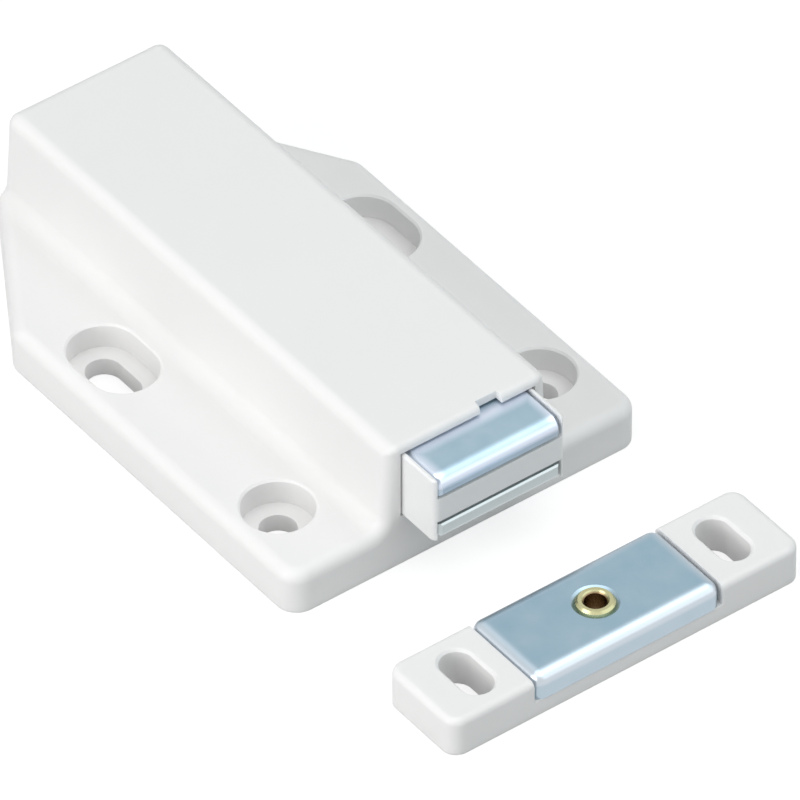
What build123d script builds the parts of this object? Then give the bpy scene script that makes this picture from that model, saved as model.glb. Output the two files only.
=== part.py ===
"""Magnetic push catch for a cabinet door, with its counterpiece.

Lengths are in millimetres. The origin is the middle of the catch's front edge on its mounting
face: X runs across the catch, Y to its rear, Z up from the mounting face. The catch is latched:
its plunger stands a little out of the case, and the counterpiece lies in front of it.
"""
import os
from math import asin, cos, degrees, pi, sin, sqrt

from build123d import *

# Catch body: two screw wings and a raised case, one moulding
BODY_WIDTH = 60.3
BODY_LENGTH = 88.6
WING_LENGTH = 64.3
WING_HEIGHT = 7.0
WING_SKIN = 2.0
TAIL_LEDGE = 0.5
CASE_HEIGHT = 21.45
CASE_TOP_WIDTH = 27.2
CASE_BASE_WIDTH = 28.9
CORNER_RADIUS = 3.3
TAIL_RADIUS = 2.0
FLARE_RADIUS = 2.5
EDGE_RADIUS = 1.85
ROOF_EDGE_RADIUS = 0.9
RIM_WALL = 2.0
REAR_WALL = 2.2
SILL_WALL = 2.2
ROOF_WALL = 1.3
RIB_WALL = 1.4

# Screw holes in the wings: round at the front, slotted at the rear
SCREW_INSET = 7.65
SCREW_SPACING_Y = 38.0
FRONT_SCREW_Y = 13.3
SCREW_HOLE = 5.4
HEAD_HOLE = 10.5
HEAD_DEPTH = 4.1
HEAD_EDGE = 0.3
SLOT_TRAVEL = 4.4
BOSS_WALL = 1.6

# Cavity under the case, its sill and the small notch in the roof's front edge
CAVITY_WIDTH = 23.1
SILL_HEIGHT = 8.7
NOTCH_WIDTH = 3.7
NOTCH_DEPTH = 1.3
NOTCH_X = 3.9

# Bottom cover, seated in a rebate of the body
COVER_WALL = 1.6
COVER_RECESS = 0.2
REBATE_LEDGE = 1.2
COVER_CLEARANCE = 0.2
CAVITY_WALL = 3.2

# Plunger
RUNNING_GAP = 0.3
PROTRUSION = 7.2
PLUNGER_REAR = 58.0
STROKE_OUT = 18.0
STROKE_IN = 3.0
CHEEK_WALL = 0.6
NOSE_RADIUS = 1.0
PLUNGER_EDGE = 0.25
CORE_DEPTH = 7.0
CORE_WALL = 2.0
CORE_START = 13.0
CORE_CELLS = 3

# Pole plates and magnet
PLATE_WALL = 1.2
PLATE_PROUD = 0.1
PLATE_LENGTH = 17.5
PLATE_SIDE_GAP = 0.25
PLATE_ROLL = 0.5
UPPER_LIP = 3.0
UPPER_BEND = 1.9
UPPER_LIP_GAP = 0.45
LOWER_LIP = 2.55
LOWER_BEND = 0.9
LIP_EDGE = 0.25
SHADOW_GAP = 0.7
MAGNET_WIDTH = 18.0
MAGNET_LENGTH = 14.0
MAGNET_GAP = 0.1
MAGNET_CHAMFER = 0.5

# Main spring, between the plunger's trough and the cover's upright
WIRE = 0.7
COIL_RADIUS = 2.8
WIRE_SIDES = 6
SPRING_TURNS = 7
STEPS_PER_TURN = 10
TROUGH_DEPTH = 10.0
SPRING_AXIS_Z = 16.0
SPRING_FIT = 0.2
UPRIGHT_WALL = 2.0
UPRIGHT_WIDTH = 16.0
CRADLE_LENGTH = 6.0

# Follower: a bent wire whose tip rides in the heart track under the plunger
FOLLOWER_WIRE = 1.4
FOLLOWER_REACH = 22.0
FOLLOWER_BEND = 0.9
PIVOT_Y = 49.0
PIVOT_FIT = 0.05
PIVOT_BOSS = 5.0
ARM_GAP = 0.5
ARM_SUPPORT_GAP = 0.2
TRACK_DEPTH = 2.2
TRACK_SWING = 4.0
LANE_WIDTH = 2.9
TIP_END_GAP = 0.4
HEART_EDGE = 0.3

# Plunger feet and the cover's stop ribs
FOOT_INNER_X = 5.5
FOOT_WIDTH = 3.0
FOOT_LENGTH = 6.0
FOOT_HEIGHT = 1.8
STOP_WALL = 1.5
RAIL_WALL = 1.8
RAIL_SIDE_GAP = 0.6

# Counterpiece
STRIKE_X = 0.5
STRIKE_Y = -27.85
STRIKE_LENGTH = 60.1
STRIKE_WIDTH = 15.0
STRIKE_HEIGHT = 6.2
STRIKE_CORNER = 2.3
STRIKE_EDGE = 1.0
STRIKE_SLOT_INSET = 8.05
STRIKE_SLOT_WIDTH = 5.0
STRIKE_SLOT_LENGTH = 9.4
STRIKE_SLOT_EDGE = 0.4
CAP_SLOT_WEB = 3.5
CAP_WALL = 1.2
CAP_PROUD = 0.5
CAP_OVERHANG = 0.1
CAP_SKIRT_FOOT = 2.6
CAP_EDGE = 1.8
CAP_SEAT_GAP = 0.15
STRIKE_SKIN = 1.4
DIMPLE_RADIUS = 3.4
DIMPLE_DEPTH = 0.35

# Tubular rivet of the counterpiece
RIVET_BORE = 3.2
RIVET_TUBE = 4.2
RIVET_HEAD = 5.6
RIVET_ROLL = 0.8
RIVET_EDGE = 0.35
RIVET_FIT = 0.1
RIVET_WELL = 8.0
RIVET_WELL_DEPTH = 1.6

# Places worked out from the sizes above
cavity_top = CASE_HEIGHT - ROOF_WALL
cavity_rear = BODY_LENGTH - REAR_WALL
cover_top = COVER_RECESS + COVER_WALL
tail_width = CASE_BASE_WIDTH + 2 * TAIL_LEDGE
screw_x = BODY_WIDTH / 2 - SCREW_INSET
rear_screw_y = FRONT_SCREW_Y + SCREW_SPACING_Y
head_floor = WING_HEIGHT - HEAD_DEPTH
boss_width = HEAD_HOLE + 2 * BOSS_WALL

plunger_width = CAVITY_WIDTH - 2 * RUNNING_GAP
plunger_bottom = SILL_HEIGHT + RUNNING_GAP
plunger_top = cavity_top - RUNNING_GAP
plunger_height = plunger_top - plunger_bottom
plunger_front = -PROTRUSION

plate_width = plunger_width - 2 * (CHEEK_WALL + PLATE_SIDE_GAP)
plate_front = plunger_front - PLATE_PROUD
plate_rear = plate_front + PLATE_LENGTH
upper_plate_bottom = plunger_top - PLATE_WALL
lower_plate_bottom = plunger_bottom + PLATE_PROUD
lower_plate_top = lower_plate_bottom + PLATE_WALL
magnet_rear = plate_rear - CHEEK_WALL
magnet_y = magnet_rear - MAGNET_LENGTH / 2
magnet_height = upper_plate_bottom - lower_plate_top

trough_front = PLUNGER_REAR - TROUGH_DEPTH
upright_front = cavity_rear - RUNNING_GAP - UPRIGHT_WALL
spring_well = COIL_RADIUS + WIRE / 2 + SPRING_FIT

arm_z = plunger_bottom - ARM_GAP - FOLLOWER_WIRE / 2
tip_x = TRACK_SWING * STROKE_OUT / (STROKE_OUT + STROKE_IN)
tip_y = PIVOT_Y - sqrt(FOLLOWER_REACH**2 - tip_x**2)
track_ceiling = plunger_bottom + TRACK_DEPTH
support_top = arm_z - FOLLOWER_WIRE / 2 - ARM_SUPPORT_GAP
boss_top = arm_z - FOLLOWER_BEND - FOLLOWER_WIRE / 2
rail_x = CAVITY_WIDTH / 2 - RAIL_SIDE_GAP - RAIL_WALL / 2
foot_x = FOOT_INNER_X + FOOT_WIDTH / 2
foot_front = PLUNGER_REAR - FOOT_LENGTH
stop_y = foot_front - STROKE_OUT - RUNNING_GAP - STOP_WALL / 2

strike_slot_x = STRIKE_LENGTH / 2 - STRIKE_SLOT_INSET
cap_length = 2 * (strike_slot_x - STRIKE_SLOT_WIDTH / 2 - CAP_SLOT_WEB)
cap_top = STRIKE_HEIGHT + CAP_PROUD
cap_width = STRIKE_WIDTH + 2 * CAP_OVERHANG
seat_top = cap_top - CAP_WALL
seat_length = cap_length - 2 * CAP_WALL - 2 * CAP_SEAT_GAP
seat_width = cap_width - 2 * CAP_WALL - 2 * CAP_SEAT_GAP

os.makedirs("parts", exist_ok=True)


def near(value, target, tolerance=0.01):
    """Whether two lengths are the same to within a tolerance."""
    return abs(value - target) < tolerance


def block(width, length, height, x=0.0, y=0.0, z=0.0, mode=Mode.ADD):
    """A box centred on x, starting at y and z, added to or cut from the part being built."""
    with Locations((x, y, z)):
        return Box(width, length, height, align=(Align.CENTER, Align.MIN, Align.MIN), mode=mode)


def save(part, name):
    """Label a finished piece and write it to its own file."""
    part.label = name
    export_step(part, f"parts/{name}.step")
    print(name, f"{part.volume:.1f} mm3", "valid" if part.is_valid else "NOT VALID")


# Housing: the section of wings, flares and case drawn along Y and trimmed to the plan outline
with BuildPart() as housing:
    with BuildSketch(Plane.XZ) as section:
        with BuildLine():
            Polyline(
                (-BODY_WIDTH / 2, 0),
                (BODY_WIDTH / 2, 0),
                (BODY_WIDTH / 2, WING_HEIGHT),
                (CASE_BASE_WIDTH / 2, WING_HEIGHT),
                (CASE_TOP_WIDTH / 2, CASE_HEIGHT),
                (-CASE_TOP_WIDTH / 2, CASE_HEIGHT),
                (-CASE_BASE_WIDTH / 2, WING_HEIGHT),
                (-BODY_WIDTH / 2, WING_HEIGHT),
                close=True,
            )
        make_face()
        case_feet = [v for v in section.vertices() if near(abs(v.X), CASE_BASE_WIDTH / 2)]
        fillet(case_feet, FLARE_RADIUS)
    extrude(amount=-BODY_LENGTH)
    with BuildSketch() as plan:
        with BuildLine():
            Polyline(
                (-BODY_WIDTH / 2, 0),
                (BODY_WIDTH / 2, 0),
                (BODY_WIDTH / 2, WING_LENGTH),
                (tail_width / 2, BODY_LENGTH),
                (-tail_width / 2, BODY_LENGTH),
                (-BODY_WIDTH / 2, WING_LENGTH),
                close=True,
            )
        make_face()
        tail_corners = plan.vertices().group_by(Axis.Y)[-1]
        fillet(plan.vertices() - tail_corners, CORNER_RADIUS)
        fillet(plan.vertices().group_by(Axis.Y)[-1], TAIL_RADIUS)
    extrude(amount=CASE_HEIGHT, mode=Mode.INTERSECT)
    front_outline = [
        e
        for e in housing.edges()
        if near(e.center().Y, 0) and e.center().Z > EDGE_RADIUS and not near(e.length, WING_HEIGHT)
        and not near(e.center().Z, CASE_HEIGHT)
    ]
    roof_edges = [e for e in housing.edges() if near(e.center().Z, CASE_HEIGHT) and e.center().Y > 1]
    fillet(front_outline + roof_edges, EDGE_RADIUS)
    roof_front = [e for e in housing.edges() if near(e.center().Y, 0) and near(e.center().Z, CASE_HEIGHT)]
    fillet(roof_front, ROOF_EDGE_RADIUS)

    # Cavity, plunger opening over the sill, and the rebate for the cover
    block(CAVITY_WIDTH, cavity_rear - SILL_WALL, cavity_top, y=SILL_WALL, mode=Mode.SUBTRACT)
    block(CAVITY_WIDTH, 2 * SILL_WALL, cavity_top - SILL_HEIGHT, y=-SILL_WALL, z=SILL_HEIGHT,
          mode=Mode.SUBTRACT)
    rebate_front = SILL_WALL - REBATE_LEDGE + COVER_CLEARANCE
    rebate_rear = cavity_rear + REBATE_LEDGE - COVER_CLEARANCE
    rebate_width = CAVITY_WIDTH + 2 * REBATE_LEDGE
    block(rebate_width, rebate_rear - rebate_front, cover_top, y=rebate_front, mode=Mode.SUBTRACT)
    block(NOTCH_WIDTH, 2 * NOTCH_DEPTH, 2 * ROOF_WALL, x=NOTCH_X, y=-NOTCH_DEPTH, z=cavity_top,
          mode=Mode.SUBTRACT)

    # Coring under the wings, leaving the rim, bosses round the screws and ribs
    with BuildSketch() as coring:
        add(offset(plan.sketch, amount=-RIM_WALL, mode=Mode.PRIVATE))
        Rectangle(CAVITY_WIDTH + 2 * CAVITY_WALL, 3 * BODY_LENGTH, mode=Mode.SUBTRACT)
        for side in (-1, 1):
            with Locations((side * screw_x, FRONT_SCREW_Y)):
                Circle(boss_width / 2, mode=Mode.SUBTRACT)
            with Locations((side * screw_x, rear_screw_y)):
                SlotCenterToCenter(SLOT_TRAVEL, boss_width, rotation=90, mode=Mode.SUBTRACT)
            with Locations((side * screw_x, (FRONT_SCREW_Y + rear_screw_y) / 2)):
                Rectangle(RIB_WALL, SCREW_SPACING_Y, mode=Mode.SUBTRACT)
                with GridLocations(1, SCREW_SPACING_Y / 3, 1, 2):
                    Rectangle(boss_width, RIB_WALL, mode=Mode.SUBTRACT)
            with Locations((side * screw_x, WING_LENGTH + RIB_WALL)):
                Rectangle(boss_width, RIB_WALL, mode=Mode.SUBTRACT)
    extrude(amount=WING_HEIGHT - WING_SKIN, mode=Mode.SUBTRACT)

    # Counterbored screw holes and slots
    with Locations((-screw_x, FRONT_SCREW_Y, WING_HEIGHT), (screw_x, FRONT_SCREW_Y, WING_HEIGHT)):
        CounterBoreHole(SCREW_HOLE / 2, HEAD_HOLE / 2, HEAD_DEPTH)
    for width, floor in ((SCREW_HOLE, 0), (HEAD_HOLE, head_floor)):
        with BuildSketch(Plane.XY.offset(floor)):
            with Locations((-screw_x, rear_screw_y), (screw_x, rear_screw_y)):
                SlotCenterToCenter(SLOT_TRAVEL, width, rotation=90)
        extrude(amount=WING_HEIGHT - floor, mode=Mode.SUBTRACT)
    head_rims = [
        e for e in housing.edges()
        if near(e.center().Z, WING_HEIGHT) and near(abs(e.center().X), screw_x, HEAD_HOLE / 2 + 0.1)
        and 2 * EDGE_RADIUS < e.center().Y < WING_LENGTH
    ]
    chamfer(head_rims, HEAD_EDGE)

# Bottom cover: plate, guide rails, follower boss and support, stop ribs, spring cradle
with BuildPart() as bottom_cover:
    plate_start = rebate_front + COVER_CLEARANCE
    plate_length = rebate_rear - rebate_front - 2 * COVER_CLEARANCE
    block(rebate_width - 2 * COVER_CLEARANCE, plate_length, COVER_WALL, y=plate_start, z=COVER_RECESS)
    rail_start = SILL_WALL + RUNNING_GAP
    rail_length = cavity_rear - SILL_WALL - 2 * RUNNING_GAP
    for side in (-1, 1):
        block(RAIL_WALL, rail_length, SILL_HEIGHT - cover_top, x=side * rail_x, y=rail_start, z=cover_top)
        stop_width = rail_x - FOOT_INNER_X + RUNNING_GAP
        stop_x = side * (rail_x - stop_width / 2)
        stop_height = plunger_bottom - RUNNING_GAP - cover_top
        block(stop_width, STOP_WALL, stop_height, x=stop_x, y=stop_y - STOP_WALL / 2, z=cover_top)
    with Locations((0, PIVOT_Y, cover_top)):
        Cylinder(PIVOT_BOSS / 2, boss_top - cover_top, align=(Align.CENTER, Align.CENTER, Align.MIN))
    with BuildSketch(Plane.XY.offset(cover_top)):
        with BuildLine():
            support_radius = FOLLOWER_REACH - 2 * FOLLOWER_WIRE
            half_angle = degrees(asin((TRACK_SWING + FOLLOWER_WIRE) / support_radius))
            arc = CenterArc((0, PIVOT_Y), support_radius, 270 - half_angle / 2, 3 * half_angle / 2)
            offset(arc, amount=STOP_WALL / 2)
        make_face()
    extrude(amount=support_top - cover_top)
    with Locations((0, PIVOT_Y, boss_top)):
        Hole(FOLLOWER_WIRE / 2 + PIVOT_FIT, depth=boss_top - cover_top)
    block(UPRIGHT_WIDTH, UPRIGHT_WALL, plunger_top - cover_top, y=upright_front, z=cover_top)
    cradle_width = 2 * (spring_well + BOSS_WALL)
    cradle_height = SPRING_AXIS_Z - cover_top
    block(cradle_width, CRADLE_LENGTH, cradle_height, y=upright_front - CRADLE_LENGTH, z=cover_top)
    with Locations((0, upright_front, SPRING_AXIS_Z)):
        Cylinder(spring_well, 2 * CRADLE_LENGTH, rotation=(90, 0, 0),
                 align=(Align.CENTER, Align.CENTER, Align.MIN), mode=Mode.SUBTRACT)

# Heart track outline: two straight lanes that meet at the rear, round a heart with a notch
lane_slope = TRACK_SWING / (STROKE_OUT + STROKE_IN)
track_rear = tip_y + STROKE_OUT
track_front = tip_y - STROKE_IN
track_wall = FOLLOWER_WIRE / 2 + TIP_END_GAP
lane_half = LANE_WIDTH / 2
heart_tail = track_rear - lane_half / lane_slope
shoulder_y = tip_y + FOLLOWER_WIRE
shoulder_x = (track_rear - shoulder_y) * lane_slope - lane_half
with BuildSketch() as heart:
    with BuildLine():
        Polyline(
            (0, heart_tail),
            (shoulder_x, shoulder_y),
            (shoulder_x, tip_y),
            (0, tip_y + FOLLOWER_WIRE / 2),
            (-shoulder_x, tip_y),
            (-shoulder_x, shoulder_y),
            close=True,
        )
    make_face()
    fillet(heart.vertices(), HEART_EDGE)
with BuildSketch() as track:
    with BuildLine():
        Polyline(
            (-TRACK_SWING - lane_half, track_front - track_wall),
            (TRACK_SWING + lane_half, track_front - track_wall),
            (TRACK_SWING + lane_half, track_front + lane_half),
            (lane_half, track_rear),
            (lane_half, track_rear + track_wall),
            (-lane_half, track_rear + track_wall),
            (-lane_half, track_rear),
            (-TRACK_SWING - lane_half, track_front + lane_half),
            close=True,
        )
    make_face()
    add(heart.sketch, mode=Mode.SUBTRACT)

# Plunger: slider with a pocket for the magnet, seats for the pole plates and the heart track
with BuildPart() as plunger:
    block(plunger_width, PLUNGER_REAR - plunger_front, plunger_height, y=plunger_front, z=plunger_bottom)
    fillet(plunger.edges().filter_by(Axis.Z).group_by(Axis.Y)[0], NOSE_RADIUS)
    top_outline = plunger.faces().sort_by(Axis.Z)[-1].edges()
    chamfer([e for e in top_outline if e.center().Y < PLUNGER_REAR - NOSE_RADIUS], PLUNGER_EDGE)

    # Seats for the two plates and the shadow gap between them
    seat_span = plunger_width - 2 * CHEEK_WALL
    seat_rear = plate_rear + MAGNET_GAP
    lip_seat = plate_front + PLATE_WALL
    block(seat_span, seat_rear - plunger_front + 1, PLATE_WALL + 1, y=plunger_front - 1,
          z=upper_plate_bottom, mode=Mode.SUBTRACT)
    lip_space = UPPER_LIP + UPPER_LIP_GAP
    block(seat_span, lip_seat - plunger_front + 1, lip_space + 1, y=plunger_front - 1,
          z=plunger_top - lip_space, mode=Mode.SUBTRACT)
    block(seat_span, seat_rear - plunger_front + 1, lower_plate_top - plunger_bottom + 1,
          y=plunger_front - 1, z=plunger_bottom - 1, mode=Mode.SUBTRACT)
    block(seat_span, lip_seat - plunger_front + 1, LOWER_LIP + SHADOW_GAP + PLATE_PROUD + 1,
          y=plunger_front - 1, z=plunger_bottom - 1, mode=Mode.SUBTRACT)
    block(MAGNET_WIDTH + 2 * MAGNET_GAP, MAGNET_LENGTH + 2 * MAGNET_GAP, plunger_height,
          y=magnet_y - MAGNET_LENGTH / 2 - MAGNET_GAP, z=plunger_bottom, mode=Mode.SUBTRACT)

    # Coring from the top, in pairs of cells
    core_span = trough_front - CORE_WALL - CORE_START
    cell_pitch = (core_span + CORE_WALL) / CORE_CELLS
    cell_width = (plunger_width - 3 * CORE_WALL) / 2
    cell_y = CORE_START + core_span / 2
    with Locations((0, cell_y, plunger_top)):
        with GridLocations(cell_width + CORE_WALL, cell_pitch, 2, CORE_CELLS):
            Box(cell_width, cell_pitch - CORE_WALL, CORE_DEPTH,
                align=(Align.CENTER, Align.CENTER, Align.MAX), mode=Mode.SUBTRACT)

    # Trough for the spring, open at the top and the rear
    with BuildSketch(Plane.XZ.offset(-PLUNGER_REAR)):
        with Locations((0, SPRING_AXIS_Z)):
            Circle(spring_well)
            Rectangle(2 * spring_well, plunger_top - SPRING_AXIS_Z + 1, align=(Align.CENTER, Align.MIN))
    extrude(amount=TROUGH_DEPTH, mode=Mode.SUBTRACT)

    # Heart track under the plunger
    with BuildSketch(Plane.XY.offset(plunger_bottom)):
        add(track.sketch)
    extrude(amount=TRACK_DEPTH, mode=Mode.SUBTRACT)

    # Feet that meet the cover's stop ribs at full reach
    foot_z = plunger_bottom - FOOT_HEIGHT
    for side in (-1, 1):
        block(FOOT_WIDTH, FOOT_LENGTH, FOOT_HEIGHT, x=side * foot_x, y=foot_front, z=foot_z)


# Pole plates: steel strips with a lip bent over the nose of the plunger
def pole_plate(outer_z, lip_reach, bend, up):
    """A bent strip: its flat lies at outer_z and its front lip reaches lip_reach, upwards or downwards."""
    turn = 1 if up else -1
    with BuildPart() as plate:
        with BuildSketch(Plane.YZ.offset(-plate_width / 2)) as profile:
            with BuildLine():
                Polyline(
                    (plate_rear, outer_z),
                    (plate_front, outer_z),
                    (plate_front, outer_z + turn * lip_reach),
                    (plate_front + PLATE_WALL, outer_z + turn * lip_reach),
                    (plate_front + PLATE_WALL, outer_z + turn * PLATE_WALL),
                    (plate_rear, outer_z + turn * PLATE_WALL),
                    close=True,
                )
            make_face()
            fillet([v for v in profile.vertices() if near(v.X, plate_front) and near(v.Y, outer_z)], bend)
        extrude(amount=plate_width)
        outer_sides = [e for e in plate.edges().filter_by(Axis.Y) if near(e.center().Z, outer_z)]
        chamfer(outer_sides, PLATE_ROLL)
        lip_end = [
            e for e in plate.edges()
            if near(e.center().Y, plate_front) and near(e.center().Z, outer_z + turn * lip_reach)
        ]
        chamfer(lip_end, LIP_EDGE)
    return plate


upper_pole_plate = pole_plate(plunger_top, UPPER_LIP, UPPER_BEND, up=False)
lower_pole_plate = pole_plate(lower_plate_bottom, LOWER_LIP, LOWER_BEND, up=True)

# Magnet: a ferrite block between the pole plates
with BuildPart() as magnet:
    block(MAGNET_WIDTH, MAGNET_LENGTH, magnet_height, y=magnet_y - MAGNET_LENGTH / 2, z=lower_plate_top)
    chamfer(magnet.edges().filter_by(Axis.Z), MAGNET_CHAMFER)

# Main spring: hexagonal wire wound in short straight steps round the helix
with BuildPart() as main_spring:
    spring_length = upright_front - trough_front - WIRE
    steps = SPRING_TURNS * STEPS_PER_TURN
    turn_step = 2 * pi / STEPS_PER_TURN
    with BuildLine() as coil:
        Polyline(*[
            (
                COIL_RADIUS * cos(turn_step * i),
                trough_front + WIRE / 2 + spring_length * i / steps,
                SPRING_AXIS_Z + COIL_RADIUS * sin(turn_step * i),
            )
            for i in range(steps + 1)
        ])
    with BuildSketch(Plane(origin=coil.line @ 0, z_dir=coil.line % 0)):
        RegularPolygon(WIRE / 2, WIRE_SIDES)
    sweep(path=coil.wires()[0], transition=Transition.RIGHT)

# Follower: wire bent up at the tip and down at the pivot
with BuildPart() as follower:
    pivot_foot = cover_top + ARM_SUPPORT_GAP
    tip_end = track_ceiling - TIP_END_GAP
    arm_run = Vector(tip_x, tip_y - PIVOT_Y).normalized() * FOLLOWER_BEND
    with BuildLine() as bent:
        Polyline(
            (0, PIVOT_Y, pivot_foot),
            (0, PIVOT_Y, arm_z - FOLLOWER_BEND),
            (arm_run.X, PIVOT_Y + arm_run.Y, arm_z),
            (tip_x - arm_run.X, tip_y - arm_run.Y, arm_z),
            (tip_x, tip_y, arm_z + FOLLOWER_BEND),
            (tip_x, tip_y, tip_end),
        )
    with BuildSketch(Plane.XY.offset(pivot_foot)):
        with Locations((0, PIVOT_Y)):
            Circle(FOLLOWER_WIRE / 2)
    sweep(path=bent.wires()[0], transition=Transition.RIGHT)

# Counterpiece base: moulded bar with a raised seat for the cap and a slot at each end
with BuildPart() as strike_base:
    with BuildSketch() as bar:
        with Locations((STRIKE_X, STRIKE_Y)):
            RectangleRounded(STRIKE_LENGTH, STRIKE_WIDTH, STRIKE_CORNER)
    extrude(amount=STRIKE_HEIGHT)
    fillet(strike_base.faces().sort_by(Axis.Z)[-1].edges(), STRIKE_EDGE)
    with BuildSketch(Plane.XY.offset(CAP_SKIRT_FOOT)):
        with Locations((STRIKE_X, STRIKE_Y)):
            Rectangle(cap_length + 2 * CAP_SEAT_GAP, 2 * STRIKE_WIDTH)
            Rectangle(seat_length, seat_width, mode=Mode.SUBTRACT)
    extrude(amount=STRIKE_HEIGHT, mode=Mode.SUBTRACT)
    block(seat_length, seat_width, STRIKE_HEIGHT, x=STRIKE_X, y=STRIKE_Y - seat_width / 2, z=seat_top,
          mode=Mode.SUBTRACT)
    with BuildSketch() as slots:
        with Locations((STRIKE_X, STRIKE_Y)):
            with GridLocations(2 * strike_slot_x, 1, 2, 1):
                SlotOverall(STRIKE_SLOT_LENGTH, STRIKE_SLOT_WIDTH, rotation=90)
    extrude(amount=STRIKE_HEIGHT, mode=Mode.SUBTRACT)
    rims = [
        e for e in strike_base.edges()
        if near(e.center().Z, STRIKE_HEIGHT)
        and near(abs(e.center().X - STRIKE_X), strike_slot_x, STRIKE_SLOT_WIDTH / 2 + 0.1)
        and abs(e.center().Y - STRIKE_Y) < STRIKE_SLOT_LENGTH / 2
    ]
    chamfer(rims, STRIKE_SLOT_EDGE)
    with Locations((STRIKE_X, STRIKE_Y, seat_top)):
        Hole(RIVET_TUBE / 2 + RIVET_FIT)
    with Locations((STRIKE_X, STRIKE_Y, 0)):
        Cylinder(RIVET_WELL / 2, RIVET_WELL_DEPTH, align=(Align.CENTER, Align.CENTER, Align.MIN),
                 mode=Mode.SUBTRACT)
    core_inner = RIVET_WELL / 2 + BOSS_WALL
    core_outer = seat_length / 2 - RIM_WALL
    for side in (-1, 1):
        block(core_outer - core_inner, seat_width - 2 * RIM_WALL, seat_top - STRIKE_SKIN,
              x=STRIKE_X + side * (core_inner + core_outer) / 2, y=STRIKE_Y - seat_width / 2 + RIM_WALL,
              mode=Mode.SUBTRACT)

# Counterpiece cap: a drawn steel cap over the raised seat
with BuildPart() as strike_plate:
    cap_height = cap_top - CAP_SKIRT_FOOT
    block(cap_length, cap_width, cap_height, x=STRIKE_X, y=STRIKE_Y - cap_width / 2, z=CAP_SKIRT_FOOT)
    fillet(strike_plate.edges().filter_by(Axis.Z), CAP_EDGE)
    fillet(strike_plate.faces().sort_by(Axis.Z)[-1].edges(), CAP_EDGE)
    block(cap_length - 2 * CAP_WALL, cap_width - 2 * CAP_WALL, cap_height - CAP_WALL, x=STRIKE_X,
          y=STRIKE_Y - cap_width / 2 + CAP_WALL, z=CAP_SKIRT_FOOT, mode=Mode.SUBTRACT)
    with Locations((STRIKE_X, STRIKE_Y, cap_top - DIMPLE_DEPTH)):
        Cone(RIVET_HEAD / 2, DIMPLE_RADIUS, DIMPLE_DEPTH, align=(Align.CENTER, Align.CENTER, Align.MIN),
             mode=Mode.SUBTRACT)
    with Locations((STRIKE_X, STRIKE_Y, cap_top)):
        Hole(RIVET_TUBE / 2 + RIVET_FIT)

# Tubular rivet: rolled head in the cap's dimple, tail clinched in the well under the base
with BuildPart() as strike_rivet:
    head_seat = cap_top - DIMPLE_DEPTH
    rivet_plane = Plane(origin=(STRIKE_X, STRIKE_Y, 0), x_dir=(1, 0, 0), z_dir=(0, -1, 0))
    with BuildSketch(rivet_plane) as rivet_profile:
        with BuildLine():
            Polyline(
                (RIVET_BORE / 2, RIVET_WELL_DEPTH - RIVET_ROLL),
                (RIVET_HEAD / 2, RIVET_WELL_DEPTH - RIVET_ROLL),
                (RIVET_HEAD / 2, RIVET_WELL_DEPTH),
                (RIVET_TUBE / 2, RIVET_WELL_DEPTH),
                (RIVET_TUBE / 2, head_seat),
                (RIVET_HEAD / 2, head_seat),
                (RIVET_HEAD / 2, head_seat + RIVET_ROLL),
                (RIVET_BORE / 2, head_seat + RIVET_ROLL),
                close=True,
            )
        make_face()
        chamfer([v for v in rivet_profile.vertices() if near(v.Y, head_seat + RIVET_ROLL)], RIVET_EDGE)
    revolve(axis=Axis((STRIKE_X, STRIKE_Y, 0), (0, 0, 1)))

save(housing.part, "housing")
save(bottom_cover.part, "bottom_cover")
save(plunger.part, "plunger")
save(upper_pole_plate.part, "upper_pole_plate")
save(lower_pole_plate.part, "lower_pole_plate")
save(magnet.part, "magnet")
save(main_spring.part, "main_spring")
save(follower.part, "follower")
save(strike_base.part, "strike_base")
save(strike_plate.part, "strike_plate")
save(strike_rivet.part, "strike_rivet")
print(f"follower turns {degrees(asin(tip_x / FOLLOWER_REACH)):.3f} degrees off the middle when latched")
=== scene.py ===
"""Looks of the magnetic push catch: its finishes, floor, light and camera.

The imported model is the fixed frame. Each sub-assembly is a class that dresses its own pieces, each
finish is a frozen dataclass that builds one material, and the effects that finishes share are node
groups. Lengths are in metres unless a name says otherwise.
"""
import logging
import math
from dataclasses import dataclass, field
from enum import Enum
from typing import ClassVar, Protocol

import bpy
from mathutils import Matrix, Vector

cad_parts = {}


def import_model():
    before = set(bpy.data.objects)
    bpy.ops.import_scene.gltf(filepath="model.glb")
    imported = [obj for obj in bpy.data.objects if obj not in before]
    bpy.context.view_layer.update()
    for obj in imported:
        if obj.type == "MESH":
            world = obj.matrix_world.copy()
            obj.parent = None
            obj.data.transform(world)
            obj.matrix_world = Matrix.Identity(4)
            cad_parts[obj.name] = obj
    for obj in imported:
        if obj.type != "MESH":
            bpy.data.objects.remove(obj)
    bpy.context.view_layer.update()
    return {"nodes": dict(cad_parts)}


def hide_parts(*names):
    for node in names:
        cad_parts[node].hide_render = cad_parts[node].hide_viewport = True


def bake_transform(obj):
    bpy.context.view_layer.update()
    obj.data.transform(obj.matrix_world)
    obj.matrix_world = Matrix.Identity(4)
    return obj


log = logging.getLogger("push_catch")

MM = 0.001
PHOTO_SIDE = 800

Colour = tuple[float, float, float]
Number = bpy.types.NodeSocket | float
Paint = bpy.types.NodeSocket | Colour

BLACK: Colour = (0.0, 0.0, 0.0)
WHITE: Colour = (1.0, 1.0, 1.0)


def grey(level: float) -> Colour:
    """Give the neutral colour of a level."""
    return (level, level, level)


class Grain(Enum):
    """Turn about Z, in radians, of the fine lines that rolling or drawing leaves in a metal."""

    ACROSS = 0.0
    ALONG = math.pi / 2


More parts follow.
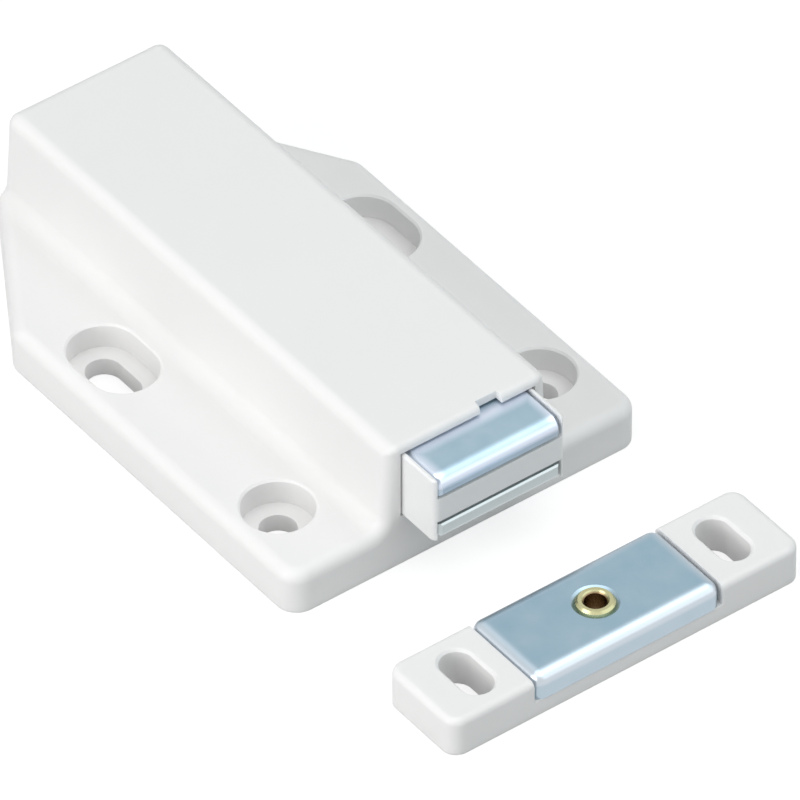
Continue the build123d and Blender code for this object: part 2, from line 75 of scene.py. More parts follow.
class PaintedSheen(Enum):
    """Where a plated strip gets a paler painted highlight, as four heights of the surface normal.

    The painted highlight comes in from the first height to the second, and goes out from the third to the
    fourth. A fourth height below 0 leaves part of it on the upright walls.
    """

    BENDS = (0.87, 0.58, 0.15, -0.15)
    BENDS_AND_WALLS = (0.93, 0.6, 0.35, -0.35)


class NodeCanvas:
    """Small helper that places and links shader nodes in one tree."""

    def __init__(self, tree: bpy.types.NodeTree) -> None:
        """Start drawing in a tree.

        Args:
            tree: The material's or group's node tree.
        """
        self.tree = tree

    def add(self, kind: str, **settings: object) -> bpy.types.Node:
        """Make one node.

        Args:
            kind: Blender's node type name.
            **settings: Attributes to set on the node.

        Returns:
            The new node.
        """
        node = self.tree.nodes.new(kind)
        for name, value in settings.items():
            setattr(node, name, value)
        return node

    def link(self, source: bpy.types.NodeSocket, target: bpy.types.NodeSocket) -> None:
        """Join an output to an input."""
        self.tree.links.new(source, target)

    def feed(self, value: Number | Paint, target: bpy.types.NodeSocket) -> None:
        """Give an input its value.

        Args:
            value: A socket to link, a number or an RGB colour.
            target: The input.
        """
        if isinstance(value, bpy.types.NodeSocket):
            self.link(value, target)
        elif isinstance(value, tuple):
            target.default_value = (*value, 1.0)
        else:
            target.default_value = value

    def math(self, operation: str, first: Number, second: Number | None = None) -> bpy.types.NodeSocket:
        """Add a Math node.

        Args:
            operation: The node's operation, such as MULTIPLY.
            first: A socket or a number.
            second: A socket or a number, if the operation takes two.

        Returns:
            The node's output socket.
        """
        node = self.add("ShaderNodeMath", operation=operation)
        self.feed(first, node.inputs[0])
        if second is not None:
            self.feed(second, node.inputs[1])
        return node.outputs[0]

    def remainder(self, share: bpy.types.NodeSocket) -> bpy.types.NodeSocket:
        """Give what a share leaves of 1."""
        return self.math("SUBTRACT", 1.0, share)

    def spread(
        self, value: bpy.types.NodeSocket, start: Number, end: Number, low: float = 0.0, high: float = 1.0
    ) -> bpy.types.NodeSocket:
        """Map a range of values smoothly onto another.

        Args:
            value: The socket to map.
            start: A socket or a number that gives low.
            end: A socket or a number that gives high.
            low: The result at start.
            high: The result at end.

        Returns:
            The mapped value's socket.
        """
        node = self.add("ShaderNodeMapRange", interpolation_type="SMOOTHSTEP")
        given = {"Value": value, "From Min": start, "From Max": end, "To Min": low, "To Max": high}
        for label, bound in given.items():
            self.feed(bound, node.inputs[label])
        return node.outputs["Result"]

    def blend(self, factor: bpy.types.NodeSocket, low: Paint, high: Paint) -> bpy.types.NodeSocket:
        """Mix two colours.

        Args:
            factor: Socket that goes from 0, the low colour, to 1, the high one.
            low: A socket or an RGB colour.
            high: A socket or an RGB colour.

        Returns:
            The mixed colour's socket.
        """
        node = self.add("ShaderNodeMix", data_type="RGBA")
        self.link(factor, node.inputs["Factor"])
        for name, value in (("A", low), ("B", high)):
            self.feed(value, next(s for s in node.inputs if s.name == name and s.type == "RGBA"))
        return next(s for s in node.outputs if s.type == "RGBA")

    def split(self, vector: bpy.types.NodeSocket) -> bpy.types.Node:
        """Split a vector.

        Args:
            vector: The vector's socket.

        Returns:
            A node with the outputs X, Y and Z.
        """
        parts = self.add("ShaderNodeSeparateXYZ")
        self.link(vector, parts.inputs["Vector"])
        return parts

    def place(self) -> bpy.types.NodeSocket:
        """Give the place on the piece, in its own axes."""
        return self.add("ShaderNodeTexCoord").outputs["Object"]

    def levelness(self) -> bpy.types.NodeSocket:
        """Give how level the surface lies: 1 for a level face, 0 for an upright wall."""
        surface = self.add("ShaderNodeNewGeometry")
        return self.math("ABSOLUTE", self.split(surface.outputs["Normal"]).outputs["Z"])


class EffectGroup:
    """Base of a shader effect that several finishes share, as one node group."""

    name: ClassVar[str] = "effect"
    inputs: ClassVar[tuple[tuple[str, float], ...]] = ()
    outputs: ClassVar[tuple[str, ...]] = ()

    def __init__(self) -> None:
        """Build the group once, with its named inputs and outputs."""
        self.group = bpy.data.node_groups.new(self.name, "ShaderNodeTree")
        for label, value in self.inputs:
            socket = self.group.interface.new_socket(
                name=label, in_out="INPUT", socket_type="NodeSocketFloat"
            )
            socket.default_value = value
        for label in self.outputs:
            self.group.interface.new_socket(
                name=label, in_out="OUTPUT", socket_type="NodeSocketFloat"
            )
        canvas = NodeCanvas(self.group)
        self.draw(canvas, canvas.add("NodeGroupInput"), canvas.add("NodeGroupOutput"))

    def draw(self, canvas: NodeCanvas, given: bpy.types.Node, made: bpy.types.Node) -> None:
        """Draw the effect between the group's input and output nodes.

        Args:
            canvas: Draws in the group's tree.
            given: The group's input node.
            made: The group's output node.
        """
        raise NotImplementedError

    def place(self, canvas: NodeCanvas, **values: float) -> bpy.types.Node:
        """Put the group in a material.

        Args:
            canvas: Draws in the material's tree.
            **values: Input values, with underscores for the spaces in their names.

        Returns:
            The group node.
        """
        node = canvas.add("ShaderNodeGroup", node_tree=self.group)
        for label, value in values.items():
            node.inputs[label.replace("_", " ")].default_value = value
        return node


class MouldGrain(EffectGroup):
    """Spark-eroded grain of a moulding: fine pits over slow waves of tone."""

    name = "mould_grain"
    inputs = (("Grain Scale", 2600.0), ("Wave Scale", 45.0))
    outputs = ("Height", "Tone")
    pit_detail: ClassVar[float] = 2.0
    pit_roughness: ClassVar[float] = 0.6
    wave_detail: ClassVar[float] = 3.0

    def draw(self, canvas: NodeCanvas, given: bpy.types.Node, made: bpy.types.Node) -> None:
        """Draw the pits and the waves.

        Args:
            canvas: Draws in the group's tree.
            given: The group's input node.
            made: The group's output node.
        """
        place = canvas.place()
        pits = canvas.add("ShaderNodeTexNoise")
        pits.inputs["Detail"].default_value = self.pit_detail
        pits.inputs["Roughness"].default_value = self.pit_roughness
        waves = canvas.add("ShaderNodeTexNoise")
        waves.inputs["Detail"].default_value = self.wave_detail
        for node, label in ((pits, "Grain Scale"), (waves, "Wave Scale")):
            canvas.link(place, node.inputs["Vector"])
            canvas.link(given.outputs[label], node.inputs["Scale"])
        canvas.link(pits.outputs["Fac"], made.inputs["Height"])
        canvas.link(waves.outputs["Fac"], made.inputs["Tone"])


class RollLines(EffectGroup):
    """Fine lines that rolling or drawing leaves in a metal, and the cloud of its plating."""

    name = "roll_lines"
    inputs = (("Across", 9000.0), ("Along", 250.0), ("Turn", 0.0), ("Cloud Scale", 260.0))
    outputs = ("Lines", "Cloud")
    line_detail: ClassVar[float] = 3.0
    cloud_detail: ClassVar[float] = 4.0

    def draw(self, canvas: NodeCanvas, given: bpy.types.Node, made: bpy.types.Node) -> None:
        """Draw the lines, as stretched noise, and the cloud.

        Args:
            canvas: Draws in the group's tree.
            given: The group's input node.
            made: The group's output node.
        """
        place = canvas.place()
        turned = canvas.add("ShaderNodeVectorRotate", rotation_type="Z_AXIS")
        canvas.link(place, turned.inputs["Vector"])
        canvas.link(given.outputs["Turn"], turned.inputs["Angle"])
        scale = canvas.add("ShaderNodeCombineXYZ")
        for axis, label in (("X", "Along"), ("Y", "Across"), ("Z", "Across")):
            canvas.link(given.outputs[label], scale.inputs[axis])
        stretched = canvas.add("ShaderNodeVectorMath", operation="MULTIPLY")
        canvas.link(turned.outputs["Vector"], stretched.inputs[0])
        canvas.link(scale.outputs["Vector"], stretched.inputs[1])
        lines = canvas.add("ShaderNodeTexNoise")
        lines.inputs["Scale"].default_value = 1.0
        lines.inputs["Detail"].default_value = self.line_detail
        canvas.link(stretched.outputs["Vector"], lines.inputs["Vector"])
        cloud = canvas.add("ShaderNodeTexNoise")
        cloud.inputs["Detail"].default_value = self.cloud_detail
        canvas.link(place, cloud.inputs["Vector"])
        canvas.link(given.outputs["Cloud Scale"], cloud.inputs["Scale"])
        canvas.link(lines.outputs["Fac"], made.inputs["Lines"])
        canvas.link(cloud.outputs["Fac"], made.inputs["Cloud"])


class PaintedSheenBand(EffectGroup):
    """Painted highlight on a strip's bends, found from how the surface is turned."""

    name = "painted_sheen_band"
    inputs = (("In Start", 0.9), ("In End", 0.62), ("Out Start", 0.3), ("Out End", 0.05))
    outputs = ("PaintedSheen",)

    def draw(self, canvas: NodeCanvas, given: bpy.types.Node, made: bpy.types.Node) -> None:
        """Draw the painted highlight as a band of the normal's height.

        Args:
            canvas: Draws in the group's tree.
            given: The group's input node.
            made: The group's output node.
        """
        height = canvas.levelness()
        level = canvas.spread(height, given.outputs["In End"], given.outputs["In Start"])
        raised = canvas.spread(height, given.outputs["Out End"], given.outputs["Out Start"])
        painted_sheen = canvas.math("MULTIPLY", canvas.remainder(level), raised)
        canvas.link(painted_sheen, made.inputs["PaintedSheen"])


class PaintedEdgeSheen(EffectGroup):
    """Painted highlight and reflection along the border of level faces."""

    name = "painted_edge_sheen"
    inputs = (("Left", -1.0), ("Right", 1.0), ("Front", -1.0), ("Back", 1.0), ("Width", 0.001))
    outputs = ("EdgeSheen",)
    level_height: ClassVar[float] = 0.4

    def draw(self, canvas: NodeCanvas, given: bpy.types.Node, made: bpy.types.Node) -> None:
        """Draw the painted highlight along the rectangle's four borders on the level faces.

        Args:
            canvas: Draws in the group's tree.
            given: The group's input node.
            made: The group's output node.
        """
        parts = canvas.split(canvas.place())
        clears = []
        for axis, low, high in (("X", "Left", "Right"), ("Y", "Front", "Back")):
            from_low = canvas.math("SUBTRACT", parts.outputs[axis], given.outputs[low])
            from_high = canvas.math("SUBTRACT", given.outputs[high], parts.outputs[axis])
            nearest = canvas.math("ABSOLUTE", canvas.math("MINIMUM", from_low, from_high))
            clears.append(canvas.spread(nearest, 0.0, given.outputs["Width"]))
        painted_border = canvas.remainder(canvas.math("MINIMUM", *clears))
        level = canvas.spread(canvas.levelness(), 0.0, self.level_height)
        canvas.link(canvas.math("MULTIPLY", painted_border, level), made.inputs["EdgeSheen"])


class PaintedBoreShade(EffectGroup):
    """Painted shade inside a bore, within a radius of a vertical axis."""

    name = "painted_bore_shade"
    inputs = (("Axis X", 0.0), ("Axis Y", 0.0), ("Radius", 0.0016), ("Fade", 0.0002))
    outputs = ("BoreShade",)

    def draw(self, canvas: NodeCanvas, given: bpy.types.Node, made: bpy.types.Node) -> None:
        """Draw a disc round the axis, with a soft edge.

        Args:
            canvas: Draws in the group's tree.
            given: The group's input node.
            made: The group's output node.
        """
        parts = canvas.split(canvas.place())
        squares = []
        for axis, label in (("X", "Axis X"), ("Y", "Axis Y")):
            offset = canvas.math("SUBTRACT", parts.outputs[axis], given.outputs[label])
            squares.append(canvas.math("MULTIPLY", offset, offset))
        distance = canvas.math("SQRT", canvas.math("ADD", *squares))
        edge = canvas.math("ADD", given.outputs["Radius"], given.outputs["Fade"])
        outside = canvas.spread(distance, given.outputs["Radius"], edge)
        canvas.link(canvas.remainder(outside), made.inputs["BoreShade"])


@dataclass
class Effects:
    """The shared effects, built once."""

    grain: MouldGrain = field(default_factory=MouldGrain)
    lines: RollLines = field(default_factory=RollLines)
    # Painted highlight on the bends of plated strips.
    painted_sheen: PaintedSheenBand = field(default_factory=PaintedSheenBand)
    # Painted highlight and reflection along the borders of level faces.
    edge_sheen: PaintedEdgeSheen = field(default_factory=PaintedEdgeSheen)
    # Painted shade inside a bore.
    bore_shade: PaintedBoreShade = field(default_factory=PaintedBoreShade)


class Finish(Protocol):
    """What every finish offers: its material's name and the material itself."""

    name: str

    def build(self, effects: Effects) -> bpy.types.Material:
        """Build the material with the shared effects."""


def blank_material(name: str) -> tuple[bpy.types.Material, NodeCanvas, bpy.types.Node]:
    """Make a material that holds only a Principled BSDF and its output.

    Args:
        name: The material's name.

    Returns:
        The material, a canvas on its tree, and its Principled BSDF.
    """
    material = bpy.data.materials.new(name)
    material.use_nodes = True
    material.node_tree.nodes.clear()
    canvas = NodeCanvas(material.node_tree)
    shader = canvas.add("ShaderNodeBsdfPrincipled")
    out = canvas.add("ShaderNodeOutputMaterial")
    canvas.link(shader.outputs["BSDF"], out.inputs["Surface"])
    return material, canvas, shader


def add_bump(
    canvas: NodeCanvas,
    shader: bpy.types.Node,
    height: bpy.types.NodeSocket,
    strength: float,
    distance: float,
) -> None:
    """Feed a height to the shader's normal.

    Args:
        canvas: Draws in the material's tree.
        shader: The Principled BSDF.
        height: The height's socket, from 0 to 1.
        strength: The bump's strength, from 0 to 1.
        distance: The height that 1 stands for, in metres.
    """
    bump = canvas.add("ShaderNodeBump")
    bump.inputs["Strength"].default_value = strength
    bump.inputs["Distance"].default_value = distance
    canvas.link(height, bump.inputs["Height"])
    canvas.link(bump.outputs["Normal"], shader.inputs["Normal"])


@dataclass(frozen=True)
class MouldedPlastic:
    """White thermoplastic straight from the mould, slightly translucent."""

    name: str
    colour: Colour
    shade: Colour
    gloss_low: float
    gloss_high: float
    grain_scale: float
    grain_depth: float
    translucence: float
    scatter: float
    scatter_tint: ClassVar[Colour] = WHITE
    ior: ClassVar[float] = 1.49
    bump_strength: ClassVar[float] = 0.5

    def build(self, effects: Effects) -> bpy.types.Material:
        """Build the plastic.

        Args:
            effects: The shared effects.

        Returns:
            The material.
        """
        material, canvas, shader = blank_material(self.name)
        grain = effects.grain.place(canvas, Grain_Scale=self.grain_scale)
        tone = canvas.blend(grain.outputs["Tone"], self.shade, self.colour)
        canvas.link(tone, shader.inputs["Base Color"])
        gloss = canvas.spread(grain.outputs["Height"], 0.0, 1.0, self.gloss_low, self.gloss_high)
        canvas.link(gloss, shader.inputs["Roughness"])
        shader.inputs["IOR"].default_value = self.ior
        shader.inputs["Subsurface Weight"].default_value = self.translucence
        shader.inputs["Subsurface Radius"].default_value = self.scatter_tint
        shader.inputs["Subsurface Scale"].default_value = self.scatter
        add_bump(canvas, shader, grain.outputs["Height"], self.bump_strength, self.grain_depth)
        return material


@dataclass(frozen=True)
class Border:
    """Rectangle along whose sides a level face gets a painted highlight and reflection. An open side
    meets no face.
    """

    width: float
    left: float = -1.0
    right: float = 1.0
    front: float = -1.0
    back: float = 1.0


@dataclass(frozen=True)
class PlatedSteel:
    """Cold-rolled steel strip under a clear blue zinc plate, with a paler painted highlight on its bends
    and along its borders.
    """

    name: str
    colour: Colour
    cloud: Colour
    sheen_colour: Colour
    rough_low: float
    rough_high: float
    grain: Grain
    painted_sheen: PaintedSheen
    border: Border
    line_depth: ClassVar[float] = 0.002 * MM
    bump_strength: ClassVar[float] = 0.35

    def build(self, effects: Effects) -> bpy.types.Material:
        """Build the plated steel.

        Args:
            effects: The shared effects.

        Returns:
            The material.
        """
        material, canvas, shader = blank_material(self.name)
        lines = effects.lines.place(canvas, Turn=self.grain.value)
        in_start, in_end, out_start, out_end = self.painted_sheen.value
        sheen_band = effects.painted_sheen.place(
            canvas, In_Start=in_start, In_End=in_end, Out_Start=out_start, Out_End=out_end
        )
        # Painted highlight and reflection along the plate's borders.
        border = self.border
        edges = effects.edge_sheen.place(
            canvas, Left=border.left, Right=border.right, Front=border.front, Back=border.back,
            Width=border.width,
        )
        # Painted highlight: a paler colour on the bends and along the borders stands in for reflections.
        painted_highlight = canvas.math("MAXIMUM", sheen_band.outputs["PaintedSheen"], edges.outputs["EdgeSheen"])
        plate = canvas.blend(lines.outputs["Cloud"], self.colour, self.cloud)
        tone = canvas.blend(painted_highlight, plate, self.sheen_colour)
        canvas.link(tone, shader.inputs["Base Color"])
        rough = canvas.spread(lines.outputs["Lines"], 0.0, 1.0, self.rough_low, self.rough_high)
        canvas.link(rough, shader.inputs["Roughness"])
        shader.inputs["Metallic"].default_value = 1.0
        add_bump(canvas, shader, lines.outputs["Lines"], self.bump_strength, self.line_depth)
        return material


@dataclass(frozen=True)
class DrawnMetal:
    """Solid metal such as spring wire, with fine drawing lines and duller patches."""

    name: str
    colour: Colour
    dull: Colour
    roughness: float
    line_depth: float
    lines_across: ClassVar[float] = 5200.0
    lines_along: ClassVar[float] = 900.0
    smooth_share: ClassVar[float] = 0.8
    coarse_share: ClassVar[float] = 1.3
    bump_strength: ClassVar[float] = 0.3

    def build(self, effects: Effects) -> bpy.types.Material:
        """Build the metal.

        Args:
            effects: The shared effects.

        Returns:
            The material.
        """
        material, canvas, shader = blank_material(self.name)
        canvas.link(self.tint(canvas, effects), shader.inputs["Base Color"])
        lines = effects.lines.place(canvas, Across=self.lines_across, Along=self.lines_along)
        smooth, coarse = self.roughness * self.smooth_share, self.roughness * self.coarse_share
        rough = canvas.spread(lines.outputs["Lines"], 0.0, 1.0, smooth, coarse)
        canvas.link(rough, shader.inputs["Roughness"])
        shader.inputs["Metallic"].default_value = 1.0
        add_bump(canvas, shader, lines.outputs["Lines"], self.bump_strength, self.line_depth)
        return material

    def tint(self, canvas: NodeCanvas, effects: Effects) -> bpy.types.NodeSocket:
        """Draw the metal's clouded colour.

        Args:
            canvas: Draws in the material's tree.
            effects: The shared effects.

        Returns:
            The colour's socket.
        """
        cloud = effects.lines.place(canvas).outputs["Cloud"]
        return canvas.blend(cloud, self.dull, self.colour)


@dataclass(frozen=True)
class TubularBrass(DrawnMetal):
    """Brass of a tubular rivet, with painted shade darkening the inside of its bore."""

    bore_shade: Colour
    axis: tuple[float, float]
    bore_radius: float

    def tint(self, canvas: NodeCanvas, effects: Effects) -> bpy.types.NodeSocket:
        """Draw the clouded colour, with painted shade in the bore.

        Args:
            canvas: Draws in the material's tree.
            effects: The shared effects.

        Returns:
            The colour's socket.
        """
        axis_x, axis_y = self.axis
        # Painted shade: the bore's inside is darkened.
        bore = effects.bore_shade.place(canvas, Axis_X=axis_x, Axis_Y=axis_y, Radius=self.bore_radius)
        return canvas.blend(bore.outputs["BoreShade"], super().tint(canvas, effects), self.bore_shade)


@dataclass(frozen=True)
class SinteredFerrite:
    """Ground hard ferrite: dark grey ceramic with small pits."""

    name: str
    colour: Colour
    pits: Colour
    roughness: float
    grain_scale: float
    grain_depth: float
    bump_strength: ClassVar[float] = 0.6

    def build(self, effects: Effects) -> bpy.types.Material:
        """Build the ferrite.

        Args:
            effects: The shared effects.

        Returns:
            The material.
        """
        material, canvas, shader = blank_material(self.name)
        grain = effects.grain.place(canvas, Grain_Scale=self.grain_scale)
        tone = canvas.blend(grain.outputs["Height"], self.pits, self.colour)
        canvas.link(tone, shader.inputs["Base Color"])
        shader.inputs["Roughness"].default_value = self.roughness
        add_bump(canvas, shader, grain.outputs["Height"], self.bump_strength, self.grain_depth)
        return material


HOUSING_PLASTIC = MouldedPlastic(
    name="white_plastic", colour=(0.835, 0.83, 0.825), shade=(0.812, 0.808, 0.804),
    gloss_low=0.48, gloss_high=0.62, grain_scale=2600.0, grain_depth=0.012 * MM,
    translucence=0.4, scatter=1.2 * MM,
)
SLIDER_PLASTIC = MouldedPlastic(
    name="plunger_plastic", colour=(0.825, 0.83, 0.83), shade=(0.805, 0.81, 0.81),
    gloss_low=0.4, gloss_high=0.52, grain_scale=4200.0, grain_depth=0.006 * MM,
    translucence=0.4, scatter=1.2 * MM,
)
# The sheen colours and borders of the plated strips below paint highlights and reflections on their bends
# and edges.
UPPER_ZINC = PlatedSteel(
    name="zinc_bent", colour=(0.27, 0.4, 0.5), cloud=(0.41, 0.53, 0.59), sheen_colour=(0.65, 0.71, 0.81),
    rough_low=0.28, rough_high=0.38, grain=Grain.ACROSS, painted_sheen=PaintedSheen.BENDS,
    border=Border(width=2.0 * MM, left=-10.3 * MM, right=10.3 * MM, back=-0.2 * MM),
)
LOWER_ZINC = PlatedSteel(
    name="zinc_pale", colour=(0.47, 0.52, 0.53), cloud=(0.5, 0.55, 0.56), sheen_colour=(0.5, 0.55, 0.56),
    rough_low=0.26, rough_high=0.36, grain=Grain.ACROSS, painted_sheen=PaintedSheen.BENDS,
    border=Border(width=1.2 * MM, left=-10.6 * MM, right=10.6 * MM),
)
CAP_ZINC = PlatedSteel(
    name="zinc_drawn", colour=(0.24, 0.37, 0.46), cloud=(0.36, 0.47, 0.54), sheen_colour=(0.57, 0.62, 0.67),
    rough_low=0.26, rough_high=0.36, grain=Grain.ALONG, painted_sheen=PaintedSheen.BENDS_AND_WALLS,
    border=Border(
        width=2.4 * MM, left=-15.5 * MM, right=16.5 * MM, front=-35.45 * MM, back=-20.25 * MM
    ),
)
# The rivet's dark bore colour is painted shade.
RIVET_BRASS = TubularBrass(
    name="brass", colour=(0.56, 0.55, 0.33), dull=(0.44, 0.42, 0.23), roughness=0.25,
    line_depth=0.004 * MM, bore_shade=(0.26, 0.18, 0.1), axis=(0.5 * MM, -27.85 * MM), bore_radius=1.65 * MM,
)
DRAWN_WIRE = DrawnMetal(
    name="spring_steel", colour=(0.5, 0.5, 0.5), dull=(0.36, 0.36, 0.37), roughness=0.3,
    line_depth=0.003 * MM,
)
FERRITE = SinteredFerrite(
    name="ferrite", colour=(0.05, 0.05, 0.052), pits=(0.02, 0.02, 0.021), roughness=0.6,
    grain_scale=1500.0, grain_depth=0.02 * MM,
)


class FinishShop:
    """Builds each finish once and hands out its material."""

    def __init__(self) -> None:
        """Start with the shared effects and no materials."""
        self.effects = Effects()
        self.made: dict[str, bpy.types.Material] = {}

    def material(self, finish: Finish) -> bpy.types.Material:
        """Give a finish's material, built on first use.

        Args:
            finish: The finish.

        Returns:
            Its material.
        """
        if finish.name not in self.made:
            self.made[finish.name] = finish.build(self.effects)
        return self.made[finish.name]

    def dress(self, piece: bpy.types.Object, finish: Finish) -> None:
        """Give every material slot of a piece one finish.

        Args:
            piece: The object to dress.
            finish: Its finish.
        """
        material = self.material(finish)
        if not piece.material_slots:
            piece.data.materials.append(material)
        for slot in piece.material_slots:
            slot.material = material
        log.info("%s has the finish %s", piece.name, finish.name)


@dataclass(frozen=True)
class CoilSpring:
    """Compression spring of round wire along Y, with closed turns at both ends."""

    coil_radius: float = 2.8 * MM
    wire_radius: float = 0.35 * MM
    axis_height: float = 16.0 * MM
    front: float = 48.05 * MM
    back: float = 84.05 * MM
    turns: float = 8.5
    closed_turns: float = 0.75
    steps_per_turn: int = 32
    wire_sides: int = 12
    tangent_step: ClassVar[float] = 0.01

    def centre(self, turn: float) -> Vector:
        """Give the middle of the wire.

        Args:
            turn: Turns round the coil from the front end.

        Returns:
            The point in the row frame.
        """
        closed_pitch = 2 * self.wire_radius
        open_turns = self.turns - 2 * self.closed_turns
        open_length = self.back - self.front - closed_pitch * (1 + 2 * self.closed_turns)
        opened = min(max(turn - self.closed_turns, 0.0), open_turns)
        seated = self.front + self.wire_radius + closed_pitch * (turn - opened)
        angle = 2 * math.pi * turn
        return Vector((
            self.coil_radius * math.cos(angle),
            seated + open_length / open_turns * opened,
            self.axis_height + self.coil_radius * math.sin(angle),
        ))

    def ring(self, turn: float) -> list[Vector]:
        """Give the points round the wire.

        Args:
            turn: Turns round the coil from the front end.

        Returns:
            One point for each side of the wire.
        """
        middle = self.centre(turn)
        ahead, behind = self.centre(turn + self.tangent_step), self.centre(turn - self.tangent_step)
        run = (ahead - behind).normalized()
        out = Vector((middle.x, 0.0, middle.z - self.axis_height)).normalized()
        side = run.cross(out).normalized()
        angles = (2 * math.pi * index / self.wire_sides for index in range(self.wire_sides))
        return [middle + self.wire_radius * (math.cos(a) * out + math.sin(a) * side) for a in angles]

    def build(self) -> bpy.types.Object:
        """Make the spring's object.

        Returns:
            The object, with a smooth closed mesh.
        """
        steps = round(self.turns * self.steps_per_turn)
        points = [point for step in range(steps + 1) for point in self.ring(step / self.steps_per_turn)]
        sides = self.wire_sides
        faces = [
            (row + side, row + (side + 1) % sides, row + sides + (side + 1) % sides, row + sides + side)
            for row in range(0, steps * sides, sides)
            for side in range(sides)
        ]
        faces += [tuple(reversed(range(sides))), tuple(range(steps * sides, (steps + 1) * sides))]
        mesh = bpy.data.meshes.new("round_main_spring")
        mesh.from_pydata(points, [], faces)
        mesh.shade_smooth()
        spring = bpy.data.objects.new("round_main_spring", mesh)
        bpy.context.scene.collection.objects.link(spring)
        return spring

    def hold(self, spring: bpy.types.Object) -> None:
        """Bake the spring's placement into its mesh.

        Args:
            spring: The spring's object.
        """
        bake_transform(spring)


@dataclass
class CaseAssembly:
    """The fixed case: the housing moulding, its bottom cover and the spring inside."""

    nodes: dict[str, bpy.types.Object]
    shop: FinishShop
    coil: CoilSpring = field(default_factory=CoilSpring)

    def build(self) -> None:
        """Dress the case's pieces and wind the spring."""
        self.shop.dress(self.nodes["housing"], HOUSING_PLASTIC)
        self.shop.dress(self.nodes["bottom_cover"], HOUSING_PLASTIC)
        spring = self.coil.build()
        self.shop.dress(spring, DRAWN_WIRE)
        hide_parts("main_spring")
        self.coil.hold(spring)


@dataclass
class PlungerAssembly:
    """The slider with its magnet and the two pole plates."""

    nodes: dict[str, bpy.types.Object]
    shop: FinishShop

    def build(self) -> None:
        """Dress the plunger's pieces."""
        self.shop.dress(self.nodes["plunger"], SLIDER_PLASTIC)
        self.shop.dress(self.nodes["upper_pole_plate"], UPPER_ZINC)
        self.shop.dress(self.nodes["lower_pole_plate"], LOWER_ZINC)
        self.shop.dress(self.nodes["magnet"], FERRITE)


@dataclass
class FollowerAssembly:
    """The bent wire that follows the heart track."""

    nodes: dict[str, bpy.types.Object]
    shop: FinishShop

    def build(self) -> None:
        """Dress the wire."""
        self.shop.dress(self.nodes["follower"], DRAWN_WIRE)


@dataclass
class Counterpiece:
    """The bar for the door: a moulded base, its steel cap and the rivet."""

    nodes: dict[str, bpy.types.Object]
    shop: FinishShop

    def build(self) -> None:
        """Dress the counterpiece's pieces."""
        self.shop.dress(self.nodes["strike_base"], HOUSING_PLASTIC)
        self.shop.dress(self.nodes["strike_plate"], CAP_ZINC)
        self.shop.dress(self.nodes["strike_rivet"], RIVET_BRASS)


@dataclass(frozen=True)
class SoftLamp:
    """One round area lamp that shines at the catch.

    The level is the brightness that the lamp alone gives a white face square to it, from 0 to 1.
    """

    name: str
    towards: tuple[float, float, float]
    size: float
    level: float
    colour: Colour
    distance: float = 1.2

    def build(self) -> None:
        """Make the lamp."""
        data = bpy.data.lights.new(self.name, "AREA")
        data.shape = "DISK"
        data.size = self.size
        radius = self.size / 2
        sine_squared = radius**2 / (radius**2 + self.distance**2)
        data.color = self.colour
        data.energy = self.level / sine_squared * math.pi * math.pi * radius**2
        direction = Vector(self.towards).normalized()
        lamp = bpy.data.objects.new(self.name, data)
        lamp.location = direction * self.distance
        lamp.rotation_mode = "QUATERNION"
        lamp.rotation_quaternion = direction.to_track_quat("Z", "Y")
        bpy.context.scene.collection.objects.link(lamp)
        log.info("%s is lit", self.name)


KEY_LAMP = SoftLamp(
    "key_lamp", towards=(-0.93, -0.03, 0.36), size=1.1, level=0.565, colour=(1.0, 0.99, 0.985)
)
TOP_LAMP = SoftLamp(
    "top_lamp", towards=(0.0, -0.1, 1.0), size=1.6, level=0.41, colour=(1.0, 0.985, 0.98)
)
FILL_LAMP = SoftLamp(
    "fill_lamp", towards=(0.55, -0.52, 0.65), size=1.6, level=0.19, colour=(0.9, 1.0, 1.02)
)


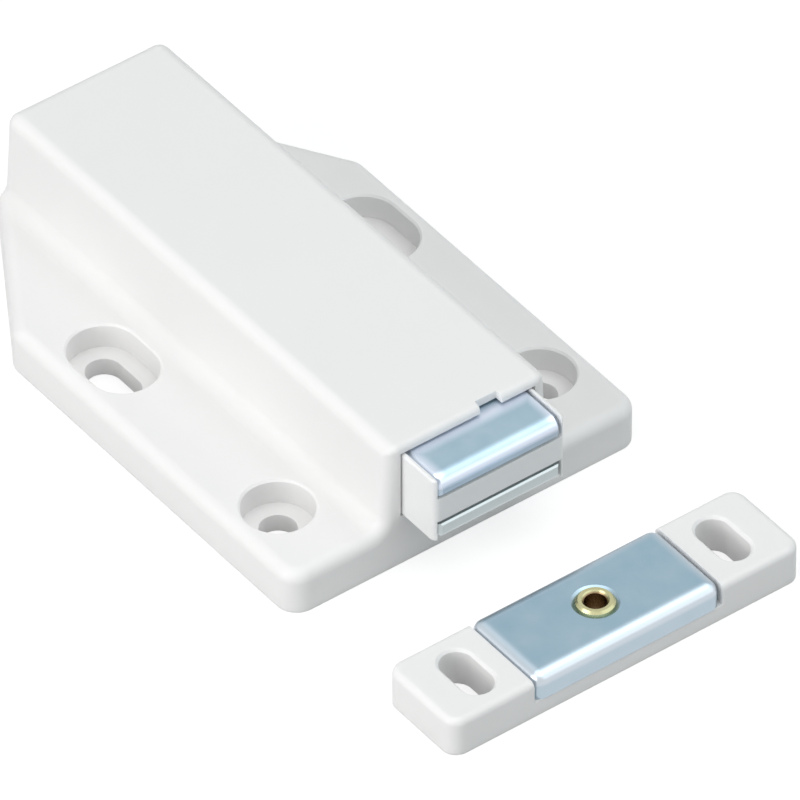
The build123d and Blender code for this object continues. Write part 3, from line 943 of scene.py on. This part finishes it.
@dataclass
class Studio:
    """Pale floor, world and soft lamps round the catch."""

    floor_side: float = 3.0
    floor_gap: float = 0.02 * MM
    floor_colour: float = 0.56
    camera_albedo: float = 0.38
    camera_glow: float = 0.7
    sky: Colour = (0.255, 0.27, 0.275)
    lamps: tuple[SoftLamp, ...] = (KEY_LAMP, TOP_LAMP, FILL_LAMP)

    def build(self) -> None:
        """Make the floor, the world and the lamps."""
        self.make_floor()
        self.make_world()
        for lamp in self.lamps:
            lamp.build()

    def background_ray(self, canvas: NodeCanvas) -> bpy.types.NodeSocket:
        """Tell the rays that see the background from those that carry light.

        Args:
            canvas: Draws in the material's or world's tree.

        Returns:
            A socket with 1 for rays of the camera, reflections and glass, and 0 for light.
        """
        path = canvas.add("ShaderNodeLightPath")
        seen = canvas.math("MAXIMUM", path.outputs["Is Camera Ray"], path.outputs["Is Glossy Ray"])
        return canvas.math("MAXIMUM", seen, path.outputs["Is Transmission Ray"])

    def make_floor(self) -> None:
        """Make the pale floor: white to the camera and in reflections, with the catch's shadow kept."""
        half, low = self.floor_side / 2, -self.floor_gap
        mesh = bpy.data.meshes.new("floor")
        corners = [(-half, -half, low), (half, -half, low), (half, half, low), (-half, half, low)]
        mesh.from_pydata(corners, [], [(0, 1, 2, 3)])
        floor = bpy.data.objects.new("floor", mesh)
        bpy.context.scene.collection.objects.link(floor)
        material, canvas, shader = blank_material("floor_paper")
        seen = self.background_ray(canvas)
        paper = canvas.blend(seen, grey(self.floor_colour), grey(self.camera_albedo))
        canvas.link(paper, shader.inputs["Base Color"])
        glow = canvas.blend(seen, BLACK, grey(self.camera_glow))
        canvas.link(glow, shader.inputs["Emission Color"])
        shader.inputs["Emission Strength"].default_value = 1.0
        shader.inputs["Roughness"].default_value = 1.0
        shader.inputs["Specular IOR Level"].default_value = 0.0
        mesh.materials.append(material)

    def make_world(self) -> None:
        """Make a grey sky that the camera and every reflection see as white."""
        world = bpy.data.worlds.new("studio")
        bpy.context.scene.world = world
        world.use_nodes = True
        world.node_tree.nodes.clear()
        canvas = NodeCanvas(world.node_tree)
        level = canvas.blend(self.background_ray(canvas), self.sky, WHITE)
        sky = canvas.add("ShaderNodeBackground")
        canvas.link(level, sky.inputs["Color"])
        out = canvas.add("ShaderNodeOutputWorld")
        canvas.link(sky.outputs["Background"], out.inputs["Surface"])


@dataclass
class PhotoCamera:
    """Camera at the photograph's viewing angle."""

    azimuth_deg: float = -37.17
    elevation_deg: float = 42.03
    aim: tuple[float, float, float] = (4.07 * MM, 20.74 * MM, 6.69 * MM)
    distance: float = 2.0
    pixels_per_mm: float = 7.26
    sensor_mm: float = 36.0
    clip_start: float = 0.1
    clip_end: float = 20.0

    def build(self) -> None:
        """Make the camera and set it as the scene's own."""
        azimuth, elevation = math.radians(self.azimuth_deg), math.radians(self.elevation_deg)
        back = Vector((
            math.sin(azimuth) * math.cos(elevation),
            -math.cos(azimuth) * math.cos(elevation),
            math.sin(elevation),
        ))
        data = bpy.data.cameras.new("photo_camera")
        data.sensor_width = self.sensor_mm
        data.lens = self.pixels_per_mm / MM * self.distance / PHOTO_SIDE * self.sensor_mm
        data.clip_start, data.clip_end = self.clip_start, self.clip_end
        camera = bpy.data.objects.new("photo_camera", data)
        camera.location = Vector(self.aim) + back * self.distance
        camera.rotation_mode = "QUATERNION"
        camera.rotation_quaternion = (-back).to_track_quat("-Z", "Y")
        bpy.context.scene.collection.objects.link(camera)
        bpy.context.scene.camera = camera
        log.info("camera looks from azimuth %.2f, elevation %.2f", self.azimuth_deg, self.elevation_deg)


def main() -> None:
    """Load the frame, dress each sub-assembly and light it."""
    logging.basicConfig(level=logging.INFO, format="%(name)s: %(message)s")
    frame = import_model()
    shop = FinishShop()
    for kind in (CaseAssembly, PlungerAssembly, FollowerAssembly, Counterpiece):
        kind(frame["nodes"], shop).build()
        log.info("%s is built", kind.__name__)
    Studio().build()
    PhotoCamera().build()
    bpy.context.scene.view_settings.view_transform = "Standard"


if __name__ == "__main__":
    main()
